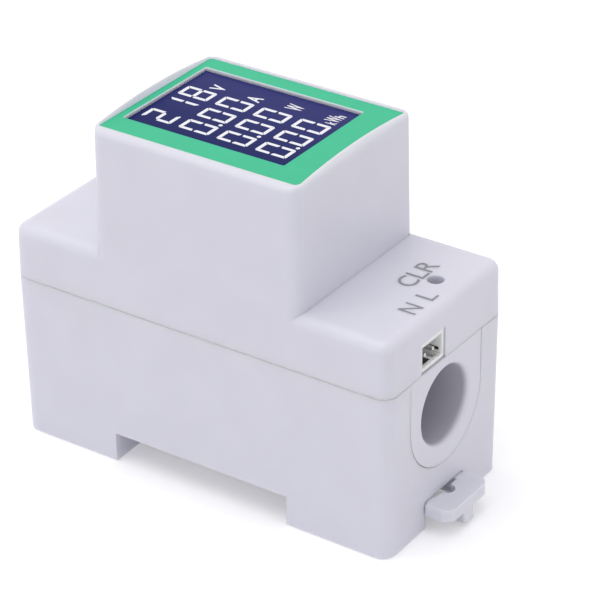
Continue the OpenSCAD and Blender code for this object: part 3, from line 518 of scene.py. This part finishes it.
# The print's height above the shoulder. The letters' places and sizes are in millimetres
INK_Z = SHOULDER_Z + 0.012 * MM
lettering("unit_letters", [
    ("V", 7.08, -11.25, 1.85, 2.8, 0.025), ("A", 6.88, -3.65, 1.85, 2.8, 0.025), ("W", 7.88, 4.15, 1.9, 3.2, 0.02),
    ("k", 6.85, 11.85, 0.8, 2.0, 0.02), ("W", 7.75, 11.85, 1.75, 2.8, 0.02), ("h", 9.55, 11.85, 0.95, 1.9, 0.02)],
    SEGMENT_Z, SEGMENT)
lettering("terminal_marks", [("N", -6.5, 36.2, 2.85, 3.4, 0.0), ("L", -1.15, 36.2, 2.2, 3.4, 0.0)],
          INK_Z, INK)
lettering("reset_mark", [
    ("C", 0.75, 31.0, 3.0, 3.5, 0.0), ("L", 4.2, 31.0, 2.3, 3.5, 0.0), ("R", 6.8, 31.0, 2.95, 3.5, 0.0)],
    INK_Z, INK)


def slabs(name, boxes, body, finish):
    """Flat-sided blocks as one mesh. Each is a pair of opposite corners in millimetres; corner k of the eight
    takes its x, y and z from the first or the second of the pair by the bits of k."""
    bits = np.array([[(k >> axis) & 1 for axis in range(3)] for k in range(8)])
    sides = np.array([[0, 2, 3, 1], [4, 5, 7, 6], [0, 1, 5, 4], [2, 6, 7, 3], [0, 4, 6, 2], [1, 3, 7, 5]])
    points = [np.where(bits, high, low) * MM for low, high in boxes]
    faces = [face for index in range(len(boxes)) for face in (sides + 8 * index).tolist()]
    mesh = bpy.data.meshes.new(name)
    mesh.from_pydata(np.concatenate(points).tolist(), [], faces)
    mesh.update()
    add_piece(mesh, name, body, finish)


# Painted shade inside the lead socket: thin black strips, two on its far side wall and one on its floor
slabs("socket_painted_shade_strips", [
    ((35.9, -1.37, 27.0), (37.6, -1.34, 27.5)), ((34.4, -1.37, 26.45), (36.1, -1.34, 26.75)),
    ((36.2, -6.1, 26.41), (37.5, -3.9, 26.43))], "meter", BLACK_MOULDING)


# Half the floor's width, its gap below the feet, and how close a face lies that gets light through it
FLOOR_HALF = 1.6
FLOOR_GAP = 0.02 * MM
FLOOR_NEAR = 0.1 * MM
# Strengths of the surround as a light and of the floor's glow to the eye
SURROUND_LIGHT = 0.71
FLOOR_GLOW = 0.25
# Name, place, diameter and power in watts of each soft lamp, and the point that they face
LAMPS = [
    ("overhead_softbox", (-0.1, -0.15, 0.75), 0.7, 1.95),
    ("left_softbox", (-0.35, -0.7, 0.25), 0.6, 0.06),
]
LAMP_AIM = Vector((0, 0, 0.03))


def seen_straight(tree, sight):
    """1 for a ray that the eye sees, also through glass or as gloss, and 0 for one that only brings light."""
    seen = add(tree, "ShaderNodeMath", {0: sight.outputs["Is Camera Ray"], 1: sight.outputs["Is Glossy Ray"]},
               operation="MAXIMUM")
    return add(tree, "ShaderNodeMath", {0: seen.outputs[0], 1: sight.outputs["Is Transmission Ray"]},
               operation="MAXIMUM").outputs[0]


def studio():
    """A pale floor that keeps the shadow, a white surround for the eye and for gloss, and soft wide lamps. The
    floor is clear from below and to what all but touches it, so that the feet's undersides get their light."""
    corners = np.array([(-1, -1, 0), (1, -1, 0), (1, 1, 0), (-1, 1, 0)]) * FLOOR_HALF
    corners[:, 2] = FEET_Z - FLOOR_GAP
    mesh = bpy.data.meshes.new("studio_floor")
    mesh.from_pydata(corners.tolist(), [], [(0, 1, 2, 3)])
    floor = bpy.data.objects.new("studio_floor", mesh)
    bpy.context.scene.collection.objects.link(floor)

    paper, tree, place = blank("white_paper_floor")
    fibre = add(tree, "ShaderNodeTexNoise", {"Vector": place, "Scale": 1 / (0.4 * MM), "Detail": 2.0})
    tone = add(tree, "ShaderNodeMix", {0: fibre.outputs[0], 6: hex_colour("F4F4F6"), 7: hex_colour("F8F8FA")},
               data_type="RGBA")
    matt = add(tree, "ShaderNodeBsdfDiffuse", {"Color": tone.outputs[2]})
    glow = add(tree, "ShaderNodeEmission", {"Strength": FLOOR_GLOW})
    lit = add(tree, "ShaderNodeAddShader", {0: matt.outputs[0], 1: glow.outputs[0]})
    sight = add(tree, "ShaderNodeLightPath")
    above = add(tree, "ShaderNodeMixShader",
                {0: seen_straight(tree, sight), 1: matt.outputs[0], 2: lit.outputs[0]})
    near = add(tree, "ShaderNodeMath", {0: sight.outputs["Ray Length"], 1: FLOOR_NEAR}, operation="LESS_THAN")
    under = add(tree, "ShaderNodeNewGeometry").outputs["Backfacing"]
    open_here = add(tree, "ShaderNodeMath", {0: near.outputs[0], 1: under}, operation="MAXIMUM")
    clear = add(tree, "ShaderNodeBsdfTransparent")
    close(tree, add(tree, "ShaderNodeMixShader", {
        0: open_here.outputs[0], 1: above.outputs[0], 2: clear.outputs[0]}))
    mesh.materials.append(paper)

    world = bpy.data.worlds.new("soft_white_surround")
    world.use_nodes = True
    bpy.context.scene.world = world
    sky = world.node_tree
    sky.nodes.clear()
    seen = seen_straight(sky, add(sky, "ShaderNodeLightPath"))
    level = add(sky, "ShaderNodeMix", {0: seen, 2: SURROUND_LIGHT, 3: 1.0})
    background = add(sky, "ShaderNodeBackground", {"Color": hex_colour("FFFFFF"), "Strength": level.outputs[0]})
    add(sky, "ShaderNodeOutputWorld", {"Surface": background.outputs[0]})

    for name, spot, size, power in LAMPS:
        lamp = bpy.data.lights.new(name, "AREA")
        lamp.shape = "DISK"
        lamp.size = size
        lamp.energy = power
        holder = bpy.data.objects.new(name, lamp)
        bpy.context.scene.collection.objects.link(holder)
        turn_to_aim = (LAMP_AIM - Vector(spot)).to_track_quat("-Z", "Y")
        holder.matrix_world = Matrix.Translation(spot) @ turn_to_aim.to_matrix().to_4x4()


studio()


# The photograph's camera: its azimuth, elevation and roll in degrees, where the housing's middle lies along its
# right, up and back axes, and its focal length and picture width in pixels
VIEW_ANGLES = [34.792, 29.764, -0.771]
HOUSING_MIDDLE = np.array([4.4, 0.0, 24.155]) * MM
MIDDLE_IN_VIEW = np.array([-3.891, -1.015, -476.864]) * MM
FOCAL_PIXELS = 2792.37
PICTURE_PIXELS = 600
SENSOR_MM = 36.0


def photograph_view():
    """The camera of the photograph. Its axes are built from the direction that it looks from and its roll, and
    its place puts the housing's middle where the photograph has it."""
    azimuth, elevation, roll = np.radians(VIEW_ANGLES)
    back = np.array([np.sin(azimuth) * np.cos(elevation), -np.cos(azimuth) * np.cos(elevation), np.sin(elevation)])
    right = np.array([np.cos(azimuth), np.sin(azimuth), 0])
    up = np.cross(back, right)
    tilted_right = np.cos(roll) * right + np.sin(roll) * up
    tilted_up = np.cos(roll) * up - np.sin(roll) * right
    axes = np.array([tilted_right, tilted_up, back])
    camera = bpy.data.cameras.new("photograph_camera")
    camera.sensor_width = SENSOR_MM
    camera.lens = FOCAL_PIXELS / PICTURE_PIXELS * SENSOR_MM
    camera.clip_start = 0.01
    holder = bpy.data.objects.new("photograph_camera", camera)
    bpy.context.scene.collection.objects.link(holder)
    spot = HOUSING_MIDDLE - MIDDLE_IN_VIEW @ axes
    holder.matrix_world = Matrix.Translation(Vector(spot)) @ Matrix(axes).transposed().to_4x4()
    bpy.context.scene.camera = holder


photograph_view()
bpy.context.scene.view_settings.view_transform = "Standard"
